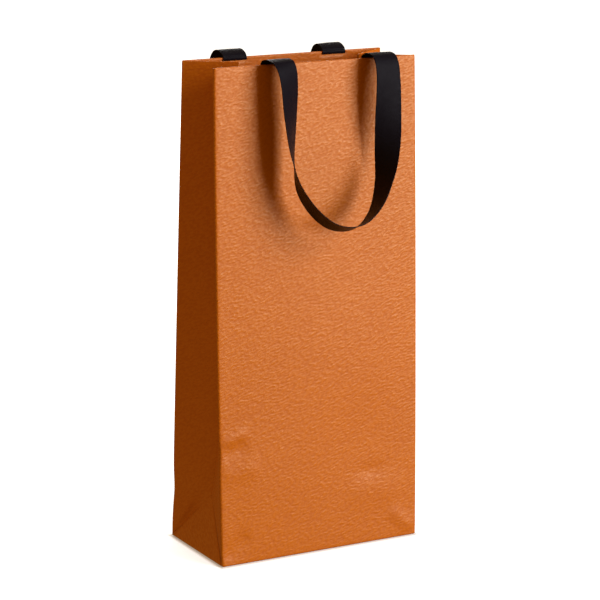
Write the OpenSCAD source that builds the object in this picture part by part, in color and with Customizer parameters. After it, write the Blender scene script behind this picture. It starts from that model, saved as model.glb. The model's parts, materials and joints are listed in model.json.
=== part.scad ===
// Paper wine gift bag for two bottles, with two ribbon handles.
// The bag stands on z = 0 with its bottom centred on the origin; the front faces -Y.

/* [Bag] */
// Width of the front and back panels
bag_w = 172; // [160:1:190]
// Depth of the bottom, front to back
bag_d = 88; // [80:1:96]
// Height of the panels, from the bottom crease to the folded top edge
bag_h = 380; // [340:5:400]
// Thickness of the paper
paper_t = 0.3; // [0.2:0.05:0.3]

/* [Mouth] */
// How far the front panel's top edge leans in
front_lean = 12; // [8:1:14]
// How far the back panel's top edge leans in
back_lean = 22; // [18:1:24]
// Height of the hem that is turned in round the mouth
hem_h = 40; // [30:1:50]

/* [Board and cards] */
// Thickness of the loose board on the bottom
board_t = 1.2; // [0.8:0.1:2]
// Thickness of the stiffening card inside each hem
card_t = 0.8; // [0.6:0.1:0.8]

/* [Ribbon handles] */
// Width of the ribbon
ribbon_w = 20; // [15:1:22]
// Thickness of the ribbon
ribbon_t = 0.4; // [0.3:0.1:0.5]
// Distance between a handle's two slits, centre to centre
slit_spacing = 86; // [80:1:90]
// Length of ribbon glued inside the hem at each end
tail_h = 30; // [20:1:32]

/* [Hidden] */

gusset_w = bag_d / 2;                     // height of the foot triangle, half the depth
fold_in = paper_t + 0.3;                  // a gusset folds on this line, just inside its panel
half_w = gusset_w - fold_in;              // one half of a folded side
front_tilt = asin(front_lean / bag_h);
back_tilt = asin(back_lean / bag_h);
hem_inset = 14;                           // the hem and card stop short of the folding side creases
hem_depth = card_t + ribbon_t;            // room between a panel and the hem's inner layer
rim_depth = 2 * paper_t + hem_depth;      // the whole top edge, outer face to inner face
slit_drop = 1.2;                          // from the folded edge down to a slit
slit_gap = 1;                             // height of a slit
bottom_layers = 3 * paper_t;              // the glued flaps under the board
panel_foot = bottom_layers + 0.3;         // a panel starts above the flaps, free to lean
main_flap_l = 60;
seam_w = 14;
edge_gap = 0.4;                           // gusset half to the line that it folds on
crease_gap = 1.2;                         // gusset half to the middle crease
gusset_foot_gap = 1.5;                    // foot triangle to the halves that fold above it
layer_gap = 0.15;                         // twisted hem to the twisted half that it lines
handle_shift_front = 6.5;                 // the handles sit a little off the middle
handle_shift_back = 1;

paper_colour = [0.80, 0.45, 0.22];
inside_colour = [0.62, 0.33, 0.13];
board_colour = [0.66, 0.62, 0.55];
ribbon_colour = [0.06, 0.06, 0.07];

// Route of a handle's ribbon, from one slit round to the other: distance across from the
// handle's middle, distance out from the rim's inner edge, height over the rim, and how far
// the ribbon's outer edge has turned in towards the bag, in degrees.
handle_route = [
    [-43, 1.2, 1.2, 0], [-43.5, 6, 3, 0], [-44, 13, 3, 0], [-45, 19, 0, 6], [-45, 24, -8, 46],
    [-43.5, 26.5, -21, 79], [-42, 26, -40, 93], [-39.5, 25, -66, 112], [-33, 23, -90, 128],
    [-20, 23, -110, 134], [-5, 25, -121, 134], [10, 29, -123, 138], [23, 31, -113, 145],
    [34, 31, -95, 157], [40.5, 28, -73, 172], [44, 25, -48, 178], [45.5, 23.5, -22, 178],
    [45, 19, 0, 180], [44.5, 13, 3, 180], [43.5, 6, 3, 180], [43, 1.2, 1.2, 180]
];
route_middle = 86;                        // slit spacing that the route is drawn for
route_steps = 4;                          // rings between two points of the route
bends_at = [3, 17];                       // route points where the loop hinges on its ends
bend_gap = 0.9;                           // loop to each of its ends

function unit(v) = v / norm(v);

// A point on the outer face of the front (face = -1) or back (face = 1) panel, h up its slope.
function panel_point(face, x, h) = face < 0
    ? [x, -bag_d / 2 + h * sin(front_tilt), h * cos(front_tilt)]
    : [x, bag_d / 2 - h * sin(back_tilt), h * cos(back_tilt)];

// A point on the line that a gusset half folds on, side = -1 for the left and 1 for the right.
function fold_point(side, face, h) = panel_point(face, side * bag_w / 2, h) - [0, face * fold_in, 0];

// The middle crease of a gusset, folded in between the panels.
function crease_point(side, h) =
    let (f = fold_point(side, -1, h), b = fold_point(side, 1, h), half_gap = norm(b - f) / 2)
    (f + b) / 2 - [side * sqrt(max(0, pow(half_w, 2) - pow(half_gap, 2))), 0, 0];

// Where a gusset half ends: on the middle crease, or on the diagonal crease below it.
function free_point(side, face, h) = h >= gusset_w
    ? crease_point(side, h)
    : let (corner = fold_point(side, face, 0))
      corner + (crease_point(side, gusset_w) - corner) * h / gusset_w;

// The four corners of a gusset half at one height, between two depths into the bag.
function gusset_ring(side, face, h, depth_a, depth_b) =
    let (p = fold_point(side, face, h), q = free_point(side, face, h),
         along = unit(q - p), inward = side * face * [along[1], -along[0], 0],
         a = p + along * edge_gap, b = q - along * crease_gap)
    [a + inward * depth_a, b + inward * depth_a, b + inward * depth_b, a + inward * depth_b];

// A closed skin over rings of four points each. The two broad faces are cut along the same
// diagonals, so that a twisted sheet keeps its thickness.
module skin_rings(rings) {
    last = len(rings) - 1;
    walls = [for (i = [0 : last - 1], j = [0 : 3], half = [0, 1])
        let (a = 4 * i + j, b = 4 * i + (j + 1) % 4)
        j < 2
            ? (half == 0 ? [a, a + 4, b] : [b, a + 4, b + 4])
            : (half == 0 ? [a, b + 4, b] : [a, a + 4, b + 4])];
    caps = [[0, 1, 2, 3], [4 * last + 3, 4 * last + 2, 4 * last + 1, 4 * last]];
    polyhedron(points = [for (r = rings, p = r) p], faces = concat(walls, caps));
}

// Turns a part drawn upright, with the bag's inside towards +Y, onto the front or back panel.
module on_panel(face) {
    if (face < 0)
        translate([0, -bag_d / 2, 0]) rotate([-front_tilt, 0, 0]) children();
    else
        translate([0, bag_d / 2, 0]) rotate([back_tilt, 0, 0]) mirror([0, 1, 0]) children();
}

module box(x0, x1, y0, y1, z0, z1) {
    translate([x0, y0, z0]) cube([x1 - x0, y1 - y0, z1 - z0]);
}

module main_flap(face, level) {
    edge = face * bag_d / 2;
    far = edge - face * main_flap_l;
    box(-bag_w / 2, bag_w / 2, min(edge, far), max(edge, far), level * paper_t, (level + 1) * paper_t);
}

module side_flap(side) {
    translate([0, 0, 2 * paper_t])
        linear_extrude(paper_t)
            polygon([
                [side * bag_w / 2, -bag_d / 2], [side * bag_w / 2, bag_d / 2],
                [side * (bag_w / 2 - gusset_w + 2), 6], [side * (bag_w / 2 - gusset_w + 2), -6]
            ]);
}

// The flat triangle at the foot of a gusset, below the two diagonal creases.
module gusset_foot(side) {
    apex = crease_point(side, gusset_w);
    tilt = atan2(bag_w / 2 - abs(apex[0]), apex[2]);
    slope_h = norm([bag_w / 2 - abs(apex[0]), apex[2]]);
    translate([side * bag_w / 2, 0, bottom_layers + layer_gap])
        rotate([0, -side * tilt, 0])
            rotate([90, 0, 90])
                translate([0, 0, side < 0 ? 0 : -paper_t])
                    linear_extrude(paper_t)
                        polygon([
                            [-gusset_w + 2 * gusset_foot_gap, 0], [gusset_w - 2 * gusset_foot_gap, 0],
                            [apex[1], slope_h - bottom_layers - 2 * gusset_foot_gap]
                        ]);
}

module panel() {
    box(-bag_w / 2, bag_w / 2, 0, paper_t, panel_foot, bag_h - paper_t);
}

module hem(shift) {
    reach = bag_w / 2 - hem_inset;
    inner = paper_t + hem_depth;
    top = bag_h - paper_t;
    difference() {
        union() {
            box(-reach, reach, inner, rim_depth, bag_h - hem_h, top);
            box(-reach, reach, 0, rim_depth, top, bag_h);
        }
        for (side = [-1, 1])
            translate([shift + side * slit_spacing / 2, 0, top - slit_drop - slit_gap])
                box(-(ribbon_w + 1) / 2, (ribbon_w + 1) / 2, inner - 0.1, rim_depth + 1, 0, slit_gap);
    }
}

module card() {
    reach = bag_w / 2 - hem_inset;
    top = bag_h - paper_t;
    box(-reach, reach, paper_t, paper_t + card_t, bag_h - hem_h + 3, top);
}

module ribbon_tails(shift) {
    top = bag_h - paper_t - slit_drop;
    for (side = [-1, 1])
        translate([shift + side * slit_spacing / 2, paper_t + card_t, top - tail_h])
            box(-ribbon_w / 2, ribbon_w / 2, 0, ribbon_t, 0, tail_h);
}

// Half of a folded side, twisted from flat at the foot to fully folded at the mouth.
module gusset_half(side, face) {
    rise = bag_h - gusset_w;
    levels = concat([7, gusset_w / 2], [for (i = [0 : 12]) gusset_w + rise * i / 12]);
    rings = [for (h = levels) gusset_ring(side, face, h, -paper_t / 2, paper_t / 2)];
    skin_ordered(side * face, rings);
}

module gusset_hem(side, face) {
    levels = [for (i = [0 : 4]) bag_h - hem_h + hem_h * i / 4];
    rings = [for (h = levels)
        let (under = paper_t / 2 + layer_gap, r = gusset_ring(side, face, h, under, under + paper_t),
             away = unit(r[1] - r[0]))
        [r[0] + away * hem_inset, r[1], r[2], r[3] + away * hem_inset]];
    skin_ordered(side * face, rings);
}

// The rings of a mirrored half run the other way round.
module skin_ordered(order, rings) {
    skin_rings(order < 0 ? rings : [for (r = rings) [r[3], r[2], r[1], r[0]]]);
}

// A smooth curve through the route's points.
function smooth(a, b, c, d, t) =
    0.5 * (2 * b + (c - a) * t + (2 * a - 5 * b + 4 * c - d) * t * t
        + (3 * b - a - 3 * c + d) * t * t * t);

function route_at(i, t) =
    let (n = len(handle_route) - 1)
    smooth(handle_route[max(i - 1, 0)], handle_route[i],
        handle_route[i + 1], handle_route[min(i + 2, n)], t);

function handle_samples() =
    let (n = len(handle_route) - 1)
    concat([for (i = [0 : n - 1], k = [0 : route_steps - 1]) route_at(i, k / route_steps)],
        [handle_route[n]]);

// A stretch of a handle's ribbon, swept along the route with the bag's inside towards +Y.
module ribbon(first, last) {
    samples = handle_samples();
    end = len(samples) - 1;
    centres = [for (s = samples) [s[0] * slit_spacing / route_middle, -s[1], s[2]]];
    rings = [for (i = [first : last])
        let (along = unit(centres[min(i + 1, end)] - centres[max(i - 1, 0)]),
             turn = samples[i][3], flat = [-cos(turn), sin(turn), 0],
             across = unit(flat - along * (flat * along)), out = cross(along, across),
             trim = i == first && first > 0 ? bend_gap : (i == last && last < end ? -bend_gap : 0),
             c = centres[i] + along * trim,
             u = across * ribbon_w / 2, v = out * ribbon_t / 2)
        [c + u + v, c - u + v, c - u - v, c + u - v]];
    skin_rings(rings);
}

module handle_ends() {
    ribbon(0, bends_at[0] * route_steps);
    ribbon(bends_at[1] * route_steps, (len(handle_route) - 1) * route_steps);
}

module handle_loop() {
    ribbon(bends_at[0] * route_steps, bends_at[1] * route_steps);
}

// A handle hangs outside its panel, from the rim's inner edge.
module at_rim(face, shift) {
    rim = panel_point(face, shift, bag_h) - [0, face * rim_depth, 0];
    translate(rim) rotate([0, 0, face < 0 ? 0 : 180]) children();
}

module bottom_flap_outer() { color(paper_colour) main_flap(-1, 0); }
module bottom_flap_inner() { color(paper_colour) main_flap(1, 1); }
module bottom_flap_left() { color(inside_colour) side_flap(-1); }
module bottom_flap_right() { color(inside_colour) side_flap(1); }
module base_board() {
    color(board_colour)
        box(-bag_w / 2 + 5, bag_w / 2 - 5, -bag_d / 2 + 2, bag_d / 2 - 2,
            bottom_layers, bottom_layers + board_t);
}
module gusset_foot_left() { color(paper_colour) gusset_foot(-1); }
module gusset_foot_right() { color(paper_colour) gusset_foot(1); }

module front_panel() { color(paper_colour) on_panel(-1) panel(); }
module front_hem() { color(inside_colour) on_panel(-1) hem(handle_shift_front); }
module front_card() { color(board_colour) on_panel(-1) card(); }
module front_ribbon_tails() { color(ribbon_colour) on_panel(-1) ribbon_tails(handle_shift_front); }

module back_panel() { color(paper_colour) on_panel(1) panel(); }
module back_hem() { color(inside_colour) on_panel(1) hem(handle_shift_back); }
module back_card() { color(board_colour) on_panel(1) card(); }
module back_ribbon_tails() { color(ribbon_colour) on_panel(1) ribbon_tails(handle_shift_back); }
module seam_flap() {
    color(inside_colour)
        on_panel(1)
            box(-bag_w / 2 + 4, -bag_w / 2 + 4 + seam_w, paper_t, 2 * paper_t,
                gusset_w, bag_h - hem_h - 1);
}

module gusset_front_left() { color(paper_colour) gusset_half(-1, -1); }
module gusset_front_right() { color(paper_colour) gusset_half(1, -1); }
module gusset_back_left() { color(paper_colour) gusset_half(-1, 1); }
module gusset_back_right() { color(paper_colour) gusset_half(1, 1); }
module gusset_hem_front_left() { color(inside_colour) gusset_hem(-1, -1); }
module gusset_hem_front_right() { color(inside_colour) gusset_hem(1, -1); }
module gusset_hem_back_left() { color(inside_colour) gusset_hem(-1, 1); }
module gusset_hem_back_right() { color(inside_colour) gusset_hem(1, 1); }

module front_handle_ends() { color(ribbon_colour) at_rim(-1, handle_shift_front) handle_ends(); }
module front_handle_loop() { color(ribbon_colour) at_rim(-1, handle_shift_front) handle_loop(); }
module back_handle_ends() { color(ribbon_colour) at_rim(1, handle_shift_back) handle_ends(); }
module back_handle_loop() { color(ribbon_colour) at_rim(1, handle_shift_back) handle_loop(); }

bottom_flap_outer();
bottom_flap_inner();
bottom_flap_left();
bottom_flap_right();
base_board();
gusset_foot_left();
gusset_foot_right();
front_panel();
front_hem();
front_card();
front_ribbon_tails();
back_panel();
back_hem();
back_card();
back_ribbon_tails();
seam_flap();
gusset_front_left();
gusset_front_right();
gusset_back_left();
gusset_back_right();
gusset_hem_front_left();
gusset_hem_front_right();
gusset_hem_back_left();
gusset_hem_back_right();
front_handle_ends();
front_handle_loop();
back_handle_ends();
back_handle_loop();
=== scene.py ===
import json
import math

import bpy
import numpy as np
from mathutils import Matrix, Vector


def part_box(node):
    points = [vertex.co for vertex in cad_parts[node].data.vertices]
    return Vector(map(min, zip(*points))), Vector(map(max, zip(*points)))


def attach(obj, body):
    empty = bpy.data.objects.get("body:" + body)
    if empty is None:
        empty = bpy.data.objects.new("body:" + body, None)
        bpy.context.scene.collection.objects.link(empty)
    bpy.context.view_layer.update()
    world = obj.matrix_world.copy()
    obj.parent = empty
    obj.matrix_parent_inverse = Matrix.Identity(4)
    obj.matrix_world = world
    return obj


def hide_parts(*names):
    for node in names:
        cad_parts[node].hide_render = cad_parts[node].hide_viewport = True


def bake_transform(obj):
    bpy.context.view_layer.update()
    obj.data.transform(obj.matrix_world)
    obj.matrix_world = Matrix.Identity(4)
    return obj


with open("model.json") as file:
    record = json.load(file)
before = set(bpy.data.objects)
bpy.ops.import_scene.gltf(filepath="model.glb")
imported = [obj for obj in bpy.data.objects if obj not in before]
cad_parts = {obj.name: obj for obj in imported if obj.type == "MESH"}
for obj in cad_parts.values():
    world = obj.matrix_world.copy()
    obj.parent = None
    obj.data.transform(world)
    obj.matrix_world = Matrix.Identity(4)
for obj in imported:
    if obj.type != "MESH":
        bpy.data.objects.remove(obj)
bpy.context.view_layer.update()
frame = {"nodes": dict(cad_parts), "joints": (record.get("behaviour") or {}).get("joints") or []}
MM = 0.001

# ---------------------------------------------------------------- camera
CAMERA_YAW = math.radians(29.0)           # round to the bag's left
CAMERA_PITCH = math.radians(13.16)        # looking down
CAMERA_ROLL = math.radians(0.32)
CAMERA_DISTANCE = 1.887
CAMERA_LENS = 146.3
AIM = Vector((0.0034, -0.0019, 0.1905))   # the middle of the picture


def make_camera():
    """The view of the front and the left side, from a little above."""
    data = bpy.data.cameras.new("camera")
    data.lens = CAMERA_LENS
    data.sensor_width = 36
    data.clip_start = 0.1
    data.clip_end = 60
    camera = bpy.data.objects.new("camera", data)
    bpy.context.scene.collection.objects.link(camera)
    ahead = Vector((
        math.sin(CAMERA_YAW) * math.cos(CAMERA_PITCH),
        math.cos(CAMERA_YAW) * math.cos(CAMERA_PITCH),
        -math.sin(CAMERA_PITCH),
    ))
    level = Vector((math.cos(CAMERA_YAW), -math.sin(CAMERA_YAW), 0))
    right = Matrix.Rotation(-CAMERA_ROLL, 3, ahead) @ level
    above = right.cross(ahead)
    turn = Matrix((right, above, -ahead)).transposed()
    camera.matrix_world = Matrix.LocRotScale(AIM - ahead * CAMERA_DISTANCE, turn, None)
    bpy.context.scene.camera = camera


make_camera()

# ---------------------------------------------------------------- measures, from the frame
JOINTS = {j["name"]: j for j in frame["joints"]}
FACES = {"front": -1, "back": 1}
SIDES = {"left": -1, "right": 1}

PAPER_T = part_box("bottom_flap_outer")[1].z
BAG_W = 2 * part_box("bottom_flap_outer")[1].x
BAG_D = 2 * JOINTS["mouth_back"]["pos_m"][1]


def panel_up(face):
    """The way up a panel's slope, which its upright edges' fold joints follow."""
    axis = JOINTS["fold_front_right" if face < 0 else "fold_back_left"]["axis"]
    return np.array(axis, float)


UP = {face: panel_up(face) for face in (-1, 1)}
OUT = {face: np.array((0, face * UP[face][2], -face * UP[face][1])) for face in (-1, 1)}
BAG_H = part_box("front_hem")[1].z / UP[-1][2]
FOLD_IN = BAG_D / 2 - abs(JOINTS["fold_front_left"]["pos_m"][1])
HALF_W = BAG_D / 2 - FOLD_IN              # one half of a folded side
FOOT_H = BAG_D / 2                        # height of the diagonal creases' meeting point
HEM_H = 40 * MM
PIVOT = {f: JOINTS[n + "_handle_swing"]["pos_m"] for n, f in FACES.items()}
RIM = PIVOT[-1][1] - (-BAG_D / 2 + BAG_H * UP[-1][1])   # the whole top edge, front to back

EDGE_R = 1.7 * MM                         # the paper turns the bag's upright edges in this radius
BOTTOM_R = 1.4 * MM                       # and the bottom edges in this one
GUSSET_RIM = 0.8 * MM                     # a folded side's top edge, two layers of paper
RIBBON_W = 20 * MM
RIBBON_T = 0.4 * MM


# ---------------------------------------------------------------- mesh helpers
def thin_sheet(name, outer, inner, uv, flip=False, keep=None, materials=()):
    """A closed thin sheet between two equal grids of points. keep says which cells are there.

    Material 0 is on the outer skin, 1 on the inner one and 2 on the cut edges.
    """
    rows, cols = outer.shape[:2]
    if keep is None:
        keep = np.ones((rows - 1, cols - 1), bool)
    points = np.concatenate([outer.reshape(-1, 3), inner.reshape(-1, 3)])
    uvs = np.concatenate([uv.reshape(-1, 2), uv.reshape(-1, 2)])
    inner_start = rows * cols
    faces, slots = [], []

    def add(ring, slot):
        faces.append(ring[::-1] if flip else ring)
        slots.append(slot)

    def there(i, j):
        return 0 <= i < rows - 1 and 0 <= j < cols - 1 and keep[i, j]

    for i in range(rows - 1):
        for j in range(cols - 1):
            if not keep[i, j]:
                continue
            a, b = i * cols + j, i * cols + j + 1
            c, d = a + cols, b + cols
            add([a, b, d, c], 0)
            add([a + inner_start, c + inner_start, d + inner_start, b + inner_start], 1)
            for gone, p, q in (
                (not there(i - 1, j), b, a),
                (not there(i, j + 1), d, b),
                (not there(i + 1, j), c, d),
                (not there(i, j - 1), a, c),
            ):
                if gone:
                    add([p, q, q + inner_start, p + inner_start], 2)
    used = np.unique([v for f in faces for v in f])
    new_index = np.zeros(len(points), int)
    new_index[used] = np.arange(len(used))
    mesh = bpy.data.meshes.new(name)
    mesh.from_pydata(points[used].tolist(), [], [[int(new_index[v]) for v in f] for f in faces])
    mesh.polygons.foreach_set("material_index", slots)
    mesh.polygons.foreach_set("use_smooth", [slot < 2 for slot in slots])
    loop_uv = mesh.uv_layers.new(name="UVMap")
    order = np.zeros(len(mesh.loops), int)
    mesh.loops.foreach_get("vertex_index", order)
    loop_uv.data.foreach_set("uv", uvs[used][order].astype(np.float32).ravel())
    for material in materials:
        mesh.materials.append(material)
    mesh.validate()
    mesh.update()
    piece = bpy.data.objects.new(name, mesh)
    bpy.context.scene.collection.objects.link(piece)
    return piece


def steps(low, high, size):
    """Evenly spaced values from low to high, about size apart."""
    return np.linspace(low, high, max(2, int(round(abs(high - low) / size)) + 1))


def unit(v):
    """Each vector at length 1."""
    return v / np.linalg.norm(v, axis=-1, keepdims=True)


def ease(t):
    """A smooth step from 0 to 1."""
    t = np.clip(t, 0, 1)
    return t * t * (3 - 2 * t)


def bump(x, y, x0, y0, wide, high):
    """A round hill, 1 at its top."""
    return np.exp(-((x - x0) / wide) ** 2 - ((y - y0) / high) ** 2)


def crease(x, y, start, end, width):
    """A ridge along a line, 1 on it and fading to its ends."""
    a, b = np.array(start), np.array(end)
    along = (b - a) / np.dot(b - a, b - a)
    t = (x - a[0]) * along[0] + (y - a[1]) * along[1]
    px, py = x - a[0] - t * (b - a)[0], y - a[1] - t * (b - a)[1]
    return np.exp(-(px * px + py * py) / width ** 2) * ease(t * 4) * ease((1 - t) * 4)


# ---------------------------------------------------------------- the paper's shape
def edge_bow(face, side, h):
    """How far the upright edges bow out sideways; the left ones are knocked in near the bottom."""
    most = 1.1 * MM if face < 0 else 0.3 * MM
    level, deep, tall = (88, 0.8, 9) if face < 0 else (40, 1.1, 14)
    dent = deep * MM * np.exp(-((h - level * MM) / (tall * MM)) ** 2) * (side < 0)
    return most * np.sin(np.pi * np.clip(h / BAG_H, 0, 1)) ** 0.6 - dent


def relief(face, x, h):
    """How far a panel's paper stands out of its plane, in metres."""
    calm = ease((BAG_H - HEM_H - h) / (40 * MM)) * ease(h / (12 * MM))
    mid = ease((BAG_W / 2 - abs(x)) / (30 * MM))
    hills = (
        0.9 * bump(x, h, 5 * MM, 150 * MM, 60 * MM, 90 * MM)
        + 0.5 * bump(x, h, -45 * MM, 60 * MM, 40 * MM, 45 * MM)
        - 0.5 * bump(x, h, 40 * MM, 85 * MM, 35 * MM, 40 * MM)
    )
    if face < 0:
        marks = (
            0.45 * crease(x, h, (-85 * MM, 96 * MM), (-60 * MM, 104 * MM), 3.5 * MM)
            - 0.35 * crease(x, h, (-86 * MM, 86 * MM), (-62 * MM, 94 * MM), 4.5 * MM)
            + 0.30 * crease(x, h, (-86 * MM, 70 * MM), (-50 * MM, 76 * MM), 7 * MM)
            + 0.45 * crease(x, h, (84 * MM, 4 * MM), (60 * MM, 26 * MM), 5 * MM)
            - 0.40 * crease(x, h, (-84 * MM, 4 * MM), (-62 * MM, 24 * MM), 6 * MM)
            - 0.35 * bump(x, h, 44 * MM, 58 * MM, 12 * MM, 5 * MM)
            + 0.25 * crease(x, h, (20 * MM, 44 * MM), (80 * MM, 40 * MM), 12 * MM)
        )
    else:
        marks = (
            0.35 * crease(x, h, (-84 * MM, 4 * MM), (-58 * MM, 30 * MM), 5 * MM)
            + 0.35 * crease(x, h, (84 * MM, 4 * MM), (58 * MM, 30 * MM), 5 * MM)
            - 0.30 * crease(x, h, (10 * MM, 120 * MM), (60 * MM, 132 * MM), 8 * MM)
        )
    return (1.5 * hills * mid * calm + 2.0 * marks * ease(h / (4 * MM)) * (h < BAG_H - HEM_H)) * MM


def at(face, x, out, h):
    """Points from places on a panel: across, outwards from its plane, and up its slope."""
    x, out, h = np.broadcast_arrays(x, out, h)
    point = out[..., None] * OUT[face] + h[..., None] * UP[face]
    point[..., 0] += x
    point[..., 1] += face * BAG_D / 2
    return point


def fold_point(face, side, h):
    """Where a folded side's half starts: the end of the panel's rounded upright edge."""
    return at(face, side * (BAG_W / 2 + edge_bow(face, side, h)), -EDGE_R, h)


def crease_point(side, h):
    """The middle crease of a folded side."""
    front, back = (at(face, side * BAG_W / 2, -FOLD_IN, h) for face in (-1, 1))
    half_gap = np.linalg.norm(back - front, axis=-1) / 2
    inwards = np.sqrt(np.maximum(0, HALF_W ** 2 - half_gap ** 2))
    middle = (front + back) / 2
    middle[..., 0] -= side * inwards
    return middle


# ---------------------------------------------------------------- material helpers
class Nodes:
    """Short calls for building a material's node tree."""

    def __init__(self, name):
        self.material = bpy.data.materials.new(name)
        self.material.use_nodes = True
        self.tree = self.material.node_tree
        self.shader = self.tree.nodes["Principled BSDF"]

    def add(self, kind, **values):
        node = self.tree.nodes.new(kind)
        for key, value in values.items():
            if hasattr(node, key) and key not in node.inputs:
                setattr(node, key, value)
            else:
                node.inputs[key].default_value = value
        return node

    def link(self, source, target):
        self.tree.links.new(source, target)

    def math(self, operation, a, b=0.0):
        node = self.tree.nodes.new("ShaderNodeMath")
        node.operation = operation
        for socket, value in zip(node.inputs, (a, b)):
            if isinstance(value, (int, float)):
                socket.default_value = value
            else:
                self.link(value, socket)
        return node.outputs[0]

    def ramp(self, source, stops):
        node = self.tree.nodes.new("ShaderNodeValToRGB")
        node.color_ramp.interpolation = "EASE"
        while len(node.color_ramp.elements) < len(stops):
            node.color_ramp.elements.new(0.5)
        for element, (place, colour) in zip(node.color_ramp.elements, stops):
            element.position = place
            element.color = (*colour, 1)
        self.link(source, node.inputs[0])
        return node.outputs[0]

    def mix(self, factor, a, b, mode="MIX"):
        node = self.tree.nodes.new("ShaderNodeMix")
        node.data_type = "RGBA"
        node.blend_type = mode
        for socket, value in zip((node.inputs[0], node.inputs[6], node.inputs[7]), (factor, a, b)):
            if isinstance(value, (int, float)):
                socket.default_value = value
            elif isinstance(value, tuple):
                socket.default_value = (*value, 1)
            else:
                self.link(value, socket)
        return node.outputs[2]

    def place(self, on_sheet, turn=0.0, size=(1, 1, 1)):
        """Distances along the paper, turned, then counted in steps of the given size in metres."""
        where = self.add("ShaderNodeTexCoord").outputs["UV" if on_sheet else "Object"]
        mapping = self.tree.nodes.new("ShaderNodeMapping")
        mapping.vector_type = "TEXTURE"
        mapping.inputs["Rotation"].default_value = (0, 0, turn)
        mapping.inputs["Scale"].default_value = size
        self.link(where, mapping.inputs["Vector"])
        return mapping.outputs[0]

    def noise(self, where, scale, detail=2.0, roughness=0.5):
        node = self.add("ShaderNodeTexNoise", Scale=scale, Detail=detail, Roughness=roughness)
        self.link(where, node.inputs["Vector"])
        return node.outputs[0]

    def bump(self, height, distance, strength=1.0, under=None):
        node = self.add("ShaderNodeBump", Distance=distance, Strength=strength)
        self.link(height, node.inputs["Height"])
        if under is not None:
            self.link(under, node.inputs["Normal"])
        return node.outputs[0]


def grain_height(n, on_sheet):
    """The leather grain pressed into the paper: wavy ridges, wider than tall, rising to the right."""
    where = n.place(on_sheet, math.radians(24), (2.5 * MM, 1.35 * MM, 1.5 * MM))
    wander = n.add("ShaderNodeTexNoise", Scale=0.45, Detail=2.0, Roughness=0.6)
    n.link(where, wander.inputs["Vector"])
    shift = n.tree.nodes.new("ShaderNodeVectorMath")
    shift.operation = "MULTIPLY_ADD"
    n.link(wander.outputs["Color"], shift.inputs[0])
    shift.inputs[1].default_value = (0.5, 0.5, 0.5)
    n.link(where, shift.inputs[2])
    ridges = n.noise(shift.outputs[0], 0.9, 0.0, 0.4)
    cells = n.tree.nodes.new("ShaderNodeTexVoronoi")
    cells.feature = "SMOOTH_F1"
    cells.inputs["Scale"].default_value = 0.6
    cells.inputs["Smoothness"].default_value = 0.35
    n.link(shift.outputs[0], cells.inputs["Vector"])
    domes = n.math("SUBTRACT", 0.9, cells.outputs["Distance"])
    return n.math("ADD", n.math("MULTIPLY", ridges, 0.7), n.math("MULTIPLY", domes, 0.3))


def paper_material(name, on_sheet=True):
    """Orange paper, embossed with a leather grain and lightly varnished."""
    n = Nodes(name)
    height = grain_height(n, on_sheet)
    broad = n.noise(n.place(on_sheet), 14.0, 3.0, 0.55)
    # The base colour follows the grain's height: darker down in the grooves, and lighter on the ridge
    # tops as a painted highlight.
    ink = n.ramp(height, [(0.30, (0.55, 0.122, 0.001)), (0.55, (0.59, 0.140, 0.001)),
                          (0.80, (0.62, 0.152, 0.002))])
    tint = n.ramp(broad, [(0.30, (0.97, 0.95, 0.92)), (0.70, (1.0, 1.0, 1.0))])
    n.link(n.mix(1.0, ink, tint, "MULTIPLY"), n.shader.inputs["Base Color"])
    gloss = n.ramp(height, [(0.3, (0.54,) * 3), (0.7, (0.40,) * 3)])
    n.link(gloss, n.shader.inputs["Roughness"])
    n.shader.inputs["Specular IOR Level"].default_value = 0.6
    n.shader.inputs["Specular Tint"].default_value = (1.0, 0.95, 0.7, 1)
    fine = n.noise(n.place(on_sheet), 1600.0, 2.0, 0.7)
    under = n.bump(fine, 0.03 * MM, 0.35)
    n.link(n.bump(height, 0.40 * MM, 1.0, under), n.shader.inputs["Normal"])
    return n.material


def inside_material(name, on_sheet=True):
    """The paper's uncoated inner side."""
    n = Nodes(name)
    where = n.place(on_sheet)
    fibres = n.noise(where, 900.0, 4.0, 0.7)
    cloud = n.noise(where, 30.0, 3.0, 0.5)
    shade = n.math("ADD", n.math("MULTIPLY", fibres, 0.6), n.math("MULTIPLY", cloud, 0.4))
    n.link(n.ramp(shade, [(0.3, (0.60, 0.53, 0.43)), (0.7, (0.76, 0.70, 0.60))]),
           n.shader.inputs["Base Color"])
    n.shader.inputs["Roughness"].default_value = 0.85
    n.link(n.bump(fibres, 0.04 * MM, 0.6), n.shader.inputs["Normal"])
    return n.material


def edge_material(name):
    """The paper's cut edge: a pale core, tinted by the ink."""
    n = Nodes(name)
    fibres = n.noise(n.place(False), 2500.0, 2.0, 0.6)
    n.link(n.ramp(fibres, [(0.35, (0.42, 0.17, 0.05)), (0.7, (0.62, 0.36, 0.17))]),
           n.shader.inputs["Base Color"])
    n.shader.inputs["Roughness"].default_value = 0.8
    return n.material


def board_material(name):
    """Grey-brown recycled board with flecks."""
    n = Nodes(name)
    where = n.place(False)
    flecks = n.noise(where, 1400.0, 3.0, 0.75)
    cloud = n.noise(where, 40.0, 3.0, 0.5)
    shade = n.math("ADD", n.math("MULTIPLY", flecks, 0.7), n.math("MULTIPLY", cloud, 0.3))
    n.link(n.ramp(shade, [(0.35, (0.27, 0.22, 0.16)), (0.5, (0.42, 0.37, 0.30)),
                          (0.7, (0.52, 0.47, 0.39))]), n.shader.inputs["Base Color"])
    n.shader.inputs["Roughness"].default_value = 0.9
    n.link(n.bump(flecks, 0.05 * MM, 0.7), n.shader.inputs["Normal"])
    return n.material


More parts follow.
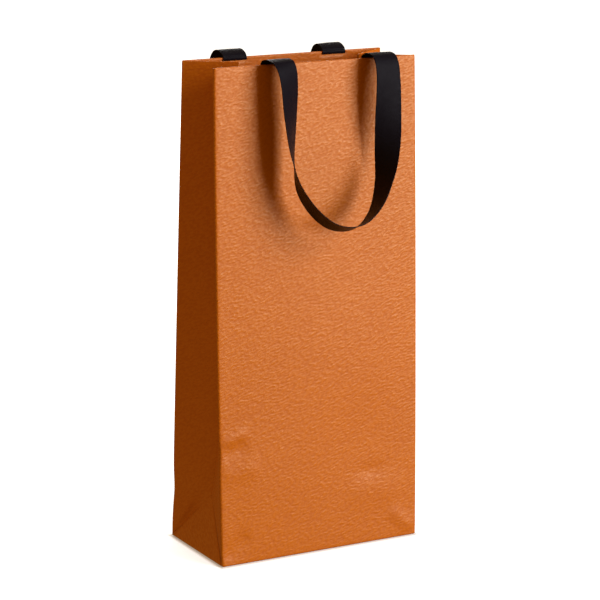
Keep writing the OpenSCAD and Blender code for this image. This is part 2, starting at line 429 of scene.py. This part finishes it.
def ribbon_material(name, on_sheet=True):
    """Black satin ribbon: a fine diagonal weave with a soft shine along the floats."""
    n = Nodes(name)
    where = n.place(on_sheet, math.radians(35), (0.42 * MM, 1.1 * MM, 0.7 * MM))
    weave = n.add("ShaderNodeTexWave", Scale=1.0, Distortion=0.6)
    n.link(where, weave.inputs["Vector"])
    blotch = n.noise(n.place(on_sheet), 120.0, 3.0, 0.6)
    # The weave's floats are painted a little lighter than the gaps between them: a faint painted
    # highlight along the weave.
    n.link(n.ramp(weave.outputs[1], [(0.2, (0.004, 0.003, 0.006)), (0.8, (0.008, 0.006, 0.011))]),
           n.shader.inputs["Base Color"])
    gloss = n.ramp(blotch, [(0.3, (0.40,) * 3), (0.7, (0.50,) * 3)])
    n.link(gloss, n.shader.inputs["Roughness"])
    n.shader.inputs["Specular IOR Level"].default_value = 0.06
    n.shader.inputs["Sheen Weight"].default_value = 0.02
    n.shader.inputs["Sheen Roughness"].default_value = 0.4
    n.shader.inputs["Sheen Tint"].default_value = (0.85, 0.78, 0.85, 1)
    n.link(n.bump(weave.outputs[1], 0.04 * MM, 0.5), n.shader.inputs["Normal"])
    return n.material


PAPER = paper_material("paper_orange_grain")
PAPER_INSIDE = inside_material("paper_inner_side")
PAPER_EDGE = edge_material("paper_cut_edge")
SHEET = (PAPER, PAPER_INSIDE, PAPER_EDGE)
RIBBON = ribbon_material("ribbon_black_satin")
BOARD = board_material("grey_board")
CAD_INSIDE = inside_material("paper_inner_side_flat", on_sheet=False)


# ---------------------------------------------------------------- panels
SLIT_APART = 43 * MM                      # each slit's middle to the handle's middle
SLIT_HALF = 10.5 * MM


def slit_edges(face):
    """Across the panel: the two ends of each of the ribbon's slits in a hem."""
    middles = [PIVOT[face][0] + side * SLIT_APART for side in (-1, 1)]
    return [(middle - SLIT_HALF, middle + SLIT_HALF) for middle in middles]


SLIT_LOW, SLIT_HIGH = BAG_H - 2.7 * MM, BAG_H - 1.6 * MM


def panel_rows():
    """The paper's way up a panel, over the top edge and down the hem.

    Each row is (out, up, the skin's normal out and up, how much the upright edges turn in).
    """
    rows = []
    for b in np.radians(np.linspace(-80, 0, 6)):
        rows.append((-BOTTOM_R + BOTTOM_R * math.cos(b), BOTTOM_R + BOTTOM_R * math.sin(b),
                     math.cos(b), math.sin(b), math.cos(b)))
    top = BAG_H - RIM / 2
    for h in steps(BOTTOM_R, top, 3 * MM)[1:]:
        rows.append((0, h, 1, 0, 1))
    for a in np.radians(np.linspace(0, 180, 11))[1:]:
        turn = 1 - 0.85 * ease(a / math.pi)
        rows.append((-RIM / 2 + RIM / 2 * math.cos(a), top + RIM / 2 * math.sin(a),
                     math.cos(a), math.sin(a), turn))
    for h in np.concatenate([[SLIT_HIGH], [SLIT_LOW], steps(SLIT_LOW, BAG_H - HEM_H, 3 * MM)[1:]]):
        rows.append((-RIM, h, -1, 0, 0.15))
    return np.array(rows)


def panel_columns(face):
    """Across the panel: the flat part, then the turn of each upright edge."""
    flat = BAG_W / 2 - EDGE_R
    marks = sorted([x for pair in slit_edges(face) for x in pair] + [-flat, flat])
    across = np.unique(np.concatenate([steps(a, b, 2.5 * MM) for a, b in zip(marks, marks[1:])]))
    turns = np.radians([22.5, 45, 67.5, 90])
    x = np.concatenate([[-flat] * 4, across, [flat] * 4])
    turn = np.concatenate([-turns[::-1], np.zeros(len(across)), turns])
    return x, turn


def panel_skin(face, depth):
    """The panel's grid of points, depth under its outer skin."""
    rows, (x, turn) = panel_rows(), panel_columns(face)
    out, up, n_out, n_up, hold = (rows[:, k][:, None] for k in range(5))
    out, up = out - n_out * depth, up - n_up * depth
    radius = (EDGE_R - depth) * hold
    bow = edge_bow(face, np.sign(x), up) * (x / (BAG_W / 2))
    across = x + bow + np.sign(turn) * radius * np.sin(abs(turn))
    stands = relief(face, x, up) * (out > -RIM / 2)
    return at(face, across, out + stands - radius * (1 - np.cos(turn)), up)


def make_panel(name, face):
    """A panel with its hem turned in and the two slits left open in the hem."""
    rows, (x, turn) = panel_rows(), panel_columns(face)
    length = np.concatenate([[0], np.cumsum(np.hypot(*np.diff(rows[:, :2], axis=0).T))])
    uv = np.stack(np.broadcast_arrays(-face * (x + turn * EDGE_R)[None], length[:, None]), -1)
    keep = np.ones((len(rows) - 1, len(x) - 1), bool)
    in_hem = rows[:, 2] < -0.99
    for i in range(len(rows) - 1):
        level = (rows[i, 1] + rows[i + 1, 1]) / 2
        if not (in_hem[i] and SLIT_LOW < level < SLIT_HIGH):
            continue
        middle = (x[1:] + x[:-1]) / 2
        for low, high in slit_edges(face):
            keep[i] &= ~((middle > low) & (middle < high))
    piece = thin_sheet(f"{name}_panel_paper", panel_skin(face, 0), panel_skin(face, PAPER_T), uv,
                       flip=face > 0, keep=keep, materials=SHEET)
    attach(piece, f"{name}_panel")
    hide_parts(f"{name}_panel", f"{name}_hem")


# ---------------------------------------------------------------- folded sides
def gusset_rows():
    """Up a folded side, over its top edge and down its hem: (height, out, normal out, normal up)."""
    radius = GUSSET_RIM / 2
    top = BAG_H - radius - 0.3 * MM
    rows = [(h, 0, 1, 0) for h in (2 * MM, 5 * MM, 9 * MM)]
    rows += [(h, 0, 1, 0) for h in steps(12 * MM, FOOT_H, 4 * MM)]
    rows += [(h, 0, 1, 0) for h in steps(FOOT_H, top, 4 * MM)[1:]]
    for a in np.radians(np.linspace(0, 180, 9))[1:]:
        rows.append((top + radius * math.sin(a), radius * (math.cos(a) - 1), math.cos(a), math.sin(a)))
    rows += [(h, -GUSSET_RIM, -1, 0) for h in steps(top, BAG_H - HEM_H, 4 * MM)[1:]]
    return np.array(rows)


def free_point(side, face, h):
    """Where a half ends: on the middle crease, or on the diagonal crease below it."""
    h = np.asarray(h, float)
    apex = crease_point(side, np.array(FOOT_H))
    corner = at(face, side * BAG_W / 2, -FOLD_IN, np.array(0.0))
    below = corner + (apex - corner) * np.minimum(h / FOOT_H, 1)[..., None]
    return np.where((h < FOOT_H)[..., None], below, crease_point(side, np.maximum(h, FOOT_H)))


# How far a half's rim sinks at the middle crease, by side and face: only the front left one does.
LOW_RIM = {(-1, -1): 4.5 * MM}


def gusset_skin(side, face, depth, share):
    """A half's grid of points, depth under its outer skin; share is 0 at the panel, 1 at the crease."""
    rows = gusset_rows()
    h = rows[:, 0]
    start, end = fold_point(face, side, h), free_point(side, face, h)
    along = end - start
    run = np.linalg.norm(along, axis=-1)
    flat = unit(along * (1, 1, 0))
    outward = np.stack([-flat[:, 1], flat[:, 0], 0 * run], -1) * side * face
    sag = 0.9 * MM * np.sin(np.pi * share) * (1 - 0.6 * share)
    full = ease((h - FOOT_H) / (60 * MM)) * ease((BAG_H - h) / (60 * MM))
    lift = rows[:, 1] - rows[:, 2] * depth
    rise = -rows[:, 3] * depth
    low = np.exp(-((h - 26 * MM) / (13 * MM)) ** 2) * ease((FOOT_H + 6 * MM - h) / (8 * MM))
    tuck = (2.4 if face > 0 else 0) * MM * low[:, None] * np.exp(-((share - 0.8) / 0.14) ** 2)
    band = 0.9 * MM * np.exp(-((h - 41 * MM) / (4 * MM)) ** 2)[:, None] * np.sin(np.pi * share)
    point = start[:, None] + along[:, None] * share[None, :, None]
    inward = sag * full[:, None] * (run / HALF_W)[:, None] + tuck + band
    point = point + outward[:, None] * (lift[:, None] - inward)[..., None]
    low_rim = LOW_RIM.get((side, face), 0) * ease((h - BAG_H + 60 * MM) / (60 * MM))
    point[..., 2] += rise[:, None] - low_rim[:, None] * ease(share)
    return point


def make_gusset(front_back, left_right):
    """One half of a folded side, from its panel's upright edge to the middle crease and, lower down,
    the diagonal crease.
    """
    face, side = FACES[front_back], SIDES[left_right]
    rows = gusset_rows()
    share = np.concatenate([[0, 0.008, 0.02], steps(0.05, 0.95, 0.05), [0.98, 0.992, 1.004]])
    length = np.concatenate([[0], np.cumsum(np.hypot(*np.diff(rows[:, :2], axis=0).T))])
    across = side * (BAG_W / 2) + side * HALF_W * share * (-face)
    uv = np.stack(np.broadcast_arrays(across[None], length[:, None] + 0.5), -1)
    piece = thin_sheet(
        f"gusset_{front_back}_{left_right}_paper", gusset_skin(side, face, 0, share),
        gusset_skin(side, face, PAPER_T, share), uv, flip=side * face > 0, materials=SHEET)
    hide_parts(f"gusset_{front_back}_{left_right}", f"gusset_hem_{front_back}_{left_right}")
    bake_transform(piece)


# ---------------------------------------------------------------- feet and bottom
def make_foot(left_right):
    """The triangle below the diagonal creases, turned under at the bag's bottom edge."""
    side = SIDES[left_right]
    apex = crease_point(side, np.array(FOOT_H))
    centre_x = BAG_W / 2 - BOTTOM_R
    tilt = math.atan2(BAG_W / 2 - abs(apex[0]), apex[2])
    rows = []
    for a in np.linspace(math.radians(-80), tilt, 7):
        rows.append((centre_x + BOTTOM_R * math.cos(a), BOTTOM_R * (1 + math.sin(a)),
                     math.cos(a), math.sin(a)))
    last = rows[-1]
    for t in steps(0, 1, 0.07)[1:]:
        rows.append((last[0] + (abs(apex[0]) - last[0]) * t, last[1] + (apex[2] - last[1]) * t,
                     last[2], last[3]))
    rows = np.array(rows)
    half = (HALF_W + FOLD_IN - 0.4 * MM) * (1 - np.clip(rows[:, 1] / apex[2], 0, 0.985))
    half -= 0.8 * MM * (1 - np.clip(rows[:, 2], 0, 1))
    share = np.linspace(-1, 1, 23)

    def skin(depth):
        x = side * (rows[:, 0] - rows[:, 2] * depth)[:, None] + 0 * share
        middle = apex[1] * rows[:, 1] / apex[2]
        y = middle[:, None] + half[:, None] * share
        z = (rows[:, 1] - rows[:, 3] * depth)[:, None] + 0 * share
        return np.stack([x, y, z], -1)

    uv = np.stack(np.broadcast_arrays(half[:, None] * share + 0.3, rows[:, 1][:, None]), -1)
    piece = thin_sheet(f"gusset_foot_{left_right}_paper", skin(0), skin(PAPER_T), uv,
                       flip=side < 0, materials=SHEET)
    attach(piece, f"gusset_foot_{left_right}")
    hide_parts(f"gusset_foot_{left_right}")


def make_main_flap(name, face):
    """A glued bottom flap: a flat sheet whose bends start just inside the bottom's edges."""
    low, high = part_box(name)
    inset = 1.2 * MM
    x = np.concatenate([[low.x + inset], steps(low.x + 2 * inset, high.x - 2 * inset, 5 * MM),
                        [high.x - inset]])
    near, far = (low.y + inset, high.y) if face < 0 else (low.y, high.y - inset)
    y = steps(near, far, 4 * MM)
    grid_y, grid_x = np.meshgrid(y, x, indexing="ij")
    under, over = np.full_like(grid_x, low.z), np.full_like(grid_x, high.z)
    uv = np.stack([grid_x + 0.2, grid_y + 0.7], -1)
    piece = thin_sheet(f"{name}_paper", np.stack([grid_x, grid_y, under], -1),
                       np.stack([grid_x, grid_y, over], -1), uv, flip=True, materials=SHEET)
    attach(piece, "base")
    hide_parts(name)


# ---------------------------------------------------------------- ribbons
# Route of a handle's ribbon in millimetres, from one slit round to the other: distance across from
# the handle's middle, out from the rim's inner edge, over the rim; then the ribbon's outer edge: its
# turn about the upright and how far it is tipped up, both in degrees.
HANDLE_ROUTE = [
    (-43, -0.3, 0.2, 0, 0), (-43, 1.0, 2.2, 0, 0), (-42.7, 5, 4, -1, 0), (-42.2, 10, 4, -4, 1),
    (-41, 14.5, 2, -10, 3), (-39.8, 18, -4.5, -17, 8), (-39, 19.8, -17, -25, 15),
    (-38.5, 20.5, -40, -36, 23), (-37.5, 22.5, -67, -53, 27), (-33.5, 26, -91, -70, 26),
    (-22, 31, -110, -78, 22),
    (-6, 34, -121, -81, 20), (13, 35, -121, -85, 20), (29, 31, -109, -95, 22), (39, 26, -88, -112, 25),
    (43.3, 22.5, -65, -138, 24), (44.7, 21, -42, -161, 17), (45.2, 20.3, -19, -176, 8),
    (45.2, 18.2, -4.5, -180, 2), (44.8, 14.5, 2, -181, 0), (44.3, 10, 4, -180, 0),
    (43.5, 5, 4, -180, 0), (43, 1.0, 2.2, -180, 0), (43, -0.3, 0.2, -180, 0),
]
BACK_ARCH = 0.8                           # the back ribbon stands this much higher over the rim, mm
# Across from the slit's middle: the tail inside the hem, out through the slit and up to the rim.
TAIL_ROUTE = [
    (0, 0.55, -32, 0, 0), (0, 0.55, -20, 0, 0), (0, 0.55, -8, 0, 0), (0, 0.5, -3.6, 0, 0),
    (0, 0.1, -2.3, 0, 0), (0, -0.5, -1.7, 0, 0), (0, -0.65, -0.9, 0, 0), (0, -0.45, -0.1, 0, 0),
    (0, -0.1, 0.45, 0, 0),
]


def smooth_route(route, count):
    """A smooth curve through the route's points, count steps between two of them."""
    points = np.array(route, float)
    ends = np.concatenate([points[:1], points, points[-1:]])
    made = []
    for a, b, c, d in zip(ends, ends[1:], ends[2:], ends[3:]):
        for t in np.arange(count) / count:
            made.append(0.5 * (2 * b + (c - a) * t + (2 * a - 5 * b + 4 * c - d) * t * t
                               + (3 * b - a - 3 * c + d) * t ** 3))
    made.append(points[-1])
    return np.array(made)


def ribbon_strip(name, face, route, middle, count, cup, lean=0.0, arch=0.0):
    """A ribbon swept along a route; face mirrors it for the back of the bag.

    lean tips its foot outwards with the panel; arch lifts the stretch next to the rim.
    """
    samples = smooth_route(route, count)
    samples[:, 2] += arch * np.exp(-((samples[:, 1] - 9) / 5) ** 2) * ease((samples[:, 2] + 14) / 12)
    samples[:, 1] -= lean * samples[:, 2]
    centre = samples[:, :3] * (1, -1, 1) * MM
    tangent = unit(np.gradient(centre, axis=0))
    turn, tip = np.radians(samples[:, 3]), np.radians(samples[:, 4])
    flat = np.stack([-np.cos(turn) * np.cos(tip), np.sin(turn) * np.cos(tip), np.sin(tip)], -1)
    across = unit(flat - tangent * np.sum(flat * tangent, -1, keepdims=True))
    out = np.cross(tangent, across)
    share = np.concatenate([[-1, -0.96], steps(-0.9, 0.9, 0.2), [0.96, 1]])
    bow = cup * MM * (share ** 2 - 0.3)
    selvedge = np.where(abs(share) > 0.9, 1.25, 1.0)
    line = np.concatenate([[0], np.cumsum(np.linalg.norm(np.diff(centre, axis=0), axis=-1))])

    def skin(level):
        lift = bow[None] + level * RIBBON_T / 2 * selvedge[None]
        point = (centre[:, None] + across[:, None] * (share * RIBBON_W / 2)[None, :, None]
                 + out[:, None] * (lift + 0 * line[:, None])[..., None])
        if face > 0:
            point = point * (-1, -1, 1)
        return point + np.array((middle, PIVOT[face][1], PIVOT[face][2]))

    uv = np.stack(np.broadcast_arrays((share * RIBBON_W / 2)[None], line[:, None]), -1)
    piece = thin_sheet(name, skin(1), skin(-1), uv, materials=(RIBBON, RIBBON, RIBBON), flip=True)
    return piece, line[-1]


def make_handle(name):
    """A ribbon handle from slit to slit, and its two tails glued inside the hem."""
    face = FACES[name]
    middle = PIVOT[face][0]
    piece, length = ribbon_strip(f"{name}_ribbon", face, HANDLE_ROUTE, middle, 8, 0.25,
                                 arch=BACK_ARCH if face > 0 else 0)
    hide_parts(f"{name}_handle_ends", f"{name}_handle_loop")
    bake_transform(piece)
    for side_name, side in SIDES.items():
        tail, _ = ribbon_strip(f"{name}_ribbon_tail_{side_name}", face, TAIL_ROUTE,
                               middle + side * SLIT_APART, 4, 0.0, lean=abs(UP[face][1]) / UP[face][2])
        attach(tail, f"{name}_panel")
    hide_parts(f"{name}_ribbon_tails")


# ---------------------------------------------------------------- carried-over parts
def finish_cad_nodes():
    """The loose board, the cards and the hidden flaps keep their CAD shape."""
    looks = {
        "base_board": (BOARD, "board"), "front_card": (BOARD, "board"), "back_card": (BOARD, "board"),
        "bottom_flap_left": (CAD_INSIDE, "paper_inside"),
        "bottom_flap_right": (CAD_INSIDE, "paper_inside"), "seam_flap": (CAD_INSIDE, "paper_inside"),
    }
    for node, (material, slot) in looks.items():
        piece = frame["nodes"][node]
        piece.data.materials.clear()
        piece.data.materials.append(material)


# ---------------------------------------------------------------- stage
FLOOR_HALF = 14.0
FLOOR_DROP = 0.3 * MM                     # the floor lies this far under the bag
FLOOR_GLOW_REACH = 2.0                    # the floor's glow is full at half of this distance
CONTACT_SHADOW_WIDTH = 4 * MM                    # the painted contact shadow round the bag's foot


def make_floor():
    """A pale floor that glows of itself as painted light, dimmer near the bag as painted shade, and
    with a painted contact shadow along the bag's foot.
    """
    n = Nodes("pale_floor")
    n.shader.inputs["Base Color"].default_value = (0.86, 0.86, 0.87, 1)
    n.shader.inputs["Roughness"].default_value = 0.9
    n.shader.inputs["Specular IOR Level"].default_value = 0.1
    n.shader.inputs["Emission Color"].default_value = (1, 1, 1, 1)
    from_bag = n.tree.nodes.new("ShaderNodeVectorMath")
    from_bag.operation = "LENGTH"
    n.link(n.place(False), from_bag.inputs[0])
    # Painted light: the floor's own glow stands in for its lighting, and is dimmer round the bag as
    # painted shade.
    glow = n.ramp(n.math("MULTIPLY", from_bag.outputs["Value"], 1 / FLOOR_GLOW_REACH),
                  [(0.08, (0.78,) * 3), (0.5, (1.0,) * 3)])
    # Painted contact shadow: the glow falls to 0.3 along the bag's foot and is full a few millimetres
    # out.
    split = n.tree.nodes.new("ShaderNodeSeparateXYZ")
    n.link(n.place(False), split.inputs[0])
    past = [n.math("SUBTRACT", n.math("ABSOLUTE", split.outputs[axis]), half)
            for axis, half in (("X", BAG_W / 2), ("Y", BAG_D / 2))]
    painted_contact_shadow = n.ramp(n.math("MULTIPLY", n.math("MAXIMUM", *past), 1 / CONTACT_SHADOW_WIDTH),
                     [(0.0, (0.3,) * 3), (1.0, (1.0,) * 3)])
    n.link(n.math("MULTIPLY", glow, painted_contact_shadow), n.shader.inputs["Emission Strength"])
    mesh = bpy.data.meshes.new("floor")
    r = FLOOR_HALF
    mesh.from_pydata([(-r, -r, 0), (r, -r, 0), (r, r, 0), (-r, r, 0)], [], [(0, 1, 2, 3)])
    mesh.materials.append(n.material)
    floor = bpy.data.objects.new("floor", mesh)
    floor.location.z = -FLOOR_DROP
    floor.visible_diffuse = False
    floor.visible_glossy = False
    bpy.context.scene.collection.objects.link(floor)


LIGHT_AIM = Vector((0, 0, 0.2))


def make_softbox(name, azimuth, elevation, distance, size, power):
    """A rectangular area light; azimuth 0 is in front of the bag and 90 is to its right."""
    data = bpy.data.lights.new(name, "AREA")
    data.shape = "RECTANGLE"
    data.size, data.size_y = size
    data.energy = power
    light = bpy.data.objects.new(name, data)
    a, e = math.radians(azimuth), math.radians(elevation)
    back = Vector((math.sin(a) * math.cos(e), -math.cos(a) * math.cos(e), math.sin(e)))
    light.location = LIGHT_AIM + back * distance
    light.rotation_mode = "QUATERNION"
    light.rotation_quaternion = back.to_track_quat("Z", "Y")
    bpy.context.scene.collection.objects.link(light)


def make_world():
    """Soft warm light from all round, stronger on the bag's left."""
    world = bpy.data.worlds.new("world")
    bpy.context.scene.world = world
    world.use_nodes = True
    tree = world.node_tree
    where = tree.nodes.new("ShaderNodeTexCoord")
    split = tree.nodes.new("ShaderNodeSeparateXYZ")
    level = tree.nodes.new("ShaderNodeMapRange")
    level.inputs["From Min"].default_value = -1
    level.inputs["From Max"].default_value = 1
    level.inputs["To Min"].default_value = 0.40
    level.inputs["To Max"].default_value = 0.10
    tree.links.new(where.outputs["Generated"], split.inputs[0])
    tree.links.new(split.outputs["X"], level.inputs["Value"])
    background = tree.nodes["Background"]
    background.inputs["Color"].default_value = (1.0, 0.62, 0.12, 1)
    tree.links.new(level.outputs[0], background.inputs["Strength"])


def make_lights():
    """A tall soft key from the right, and weak light from above and behind."""
    make_world()
    make_softbox("key", 35, 17, 2.3, (1.25, 1.9), 63)
    make_softbox("top", 160, 72, 2.4, (1.8, 1.8), 9)
    make_softbox("rear", 165, 25, 2.6, (1.2, 1.2), 26)


# ---------------------------------------------------------------- the scene
bpy.context.scene.view_settings.view_transform = "Standard"
for panel_name, panel_face in FACES.items():
    make_panel(panel_name, panel_face)
    make_handle(panel_name)
    for side_name in SIDES:
        make_gusset(panel_name, side_name)
for side_name in SIDES:
    make_foot(side_name)
make_main_flap("bottom_flap_outer", -1)
make_main_flap("bottom_flap_inner", 1)
finish_cad_nodes()
make_floor()
make_lights()
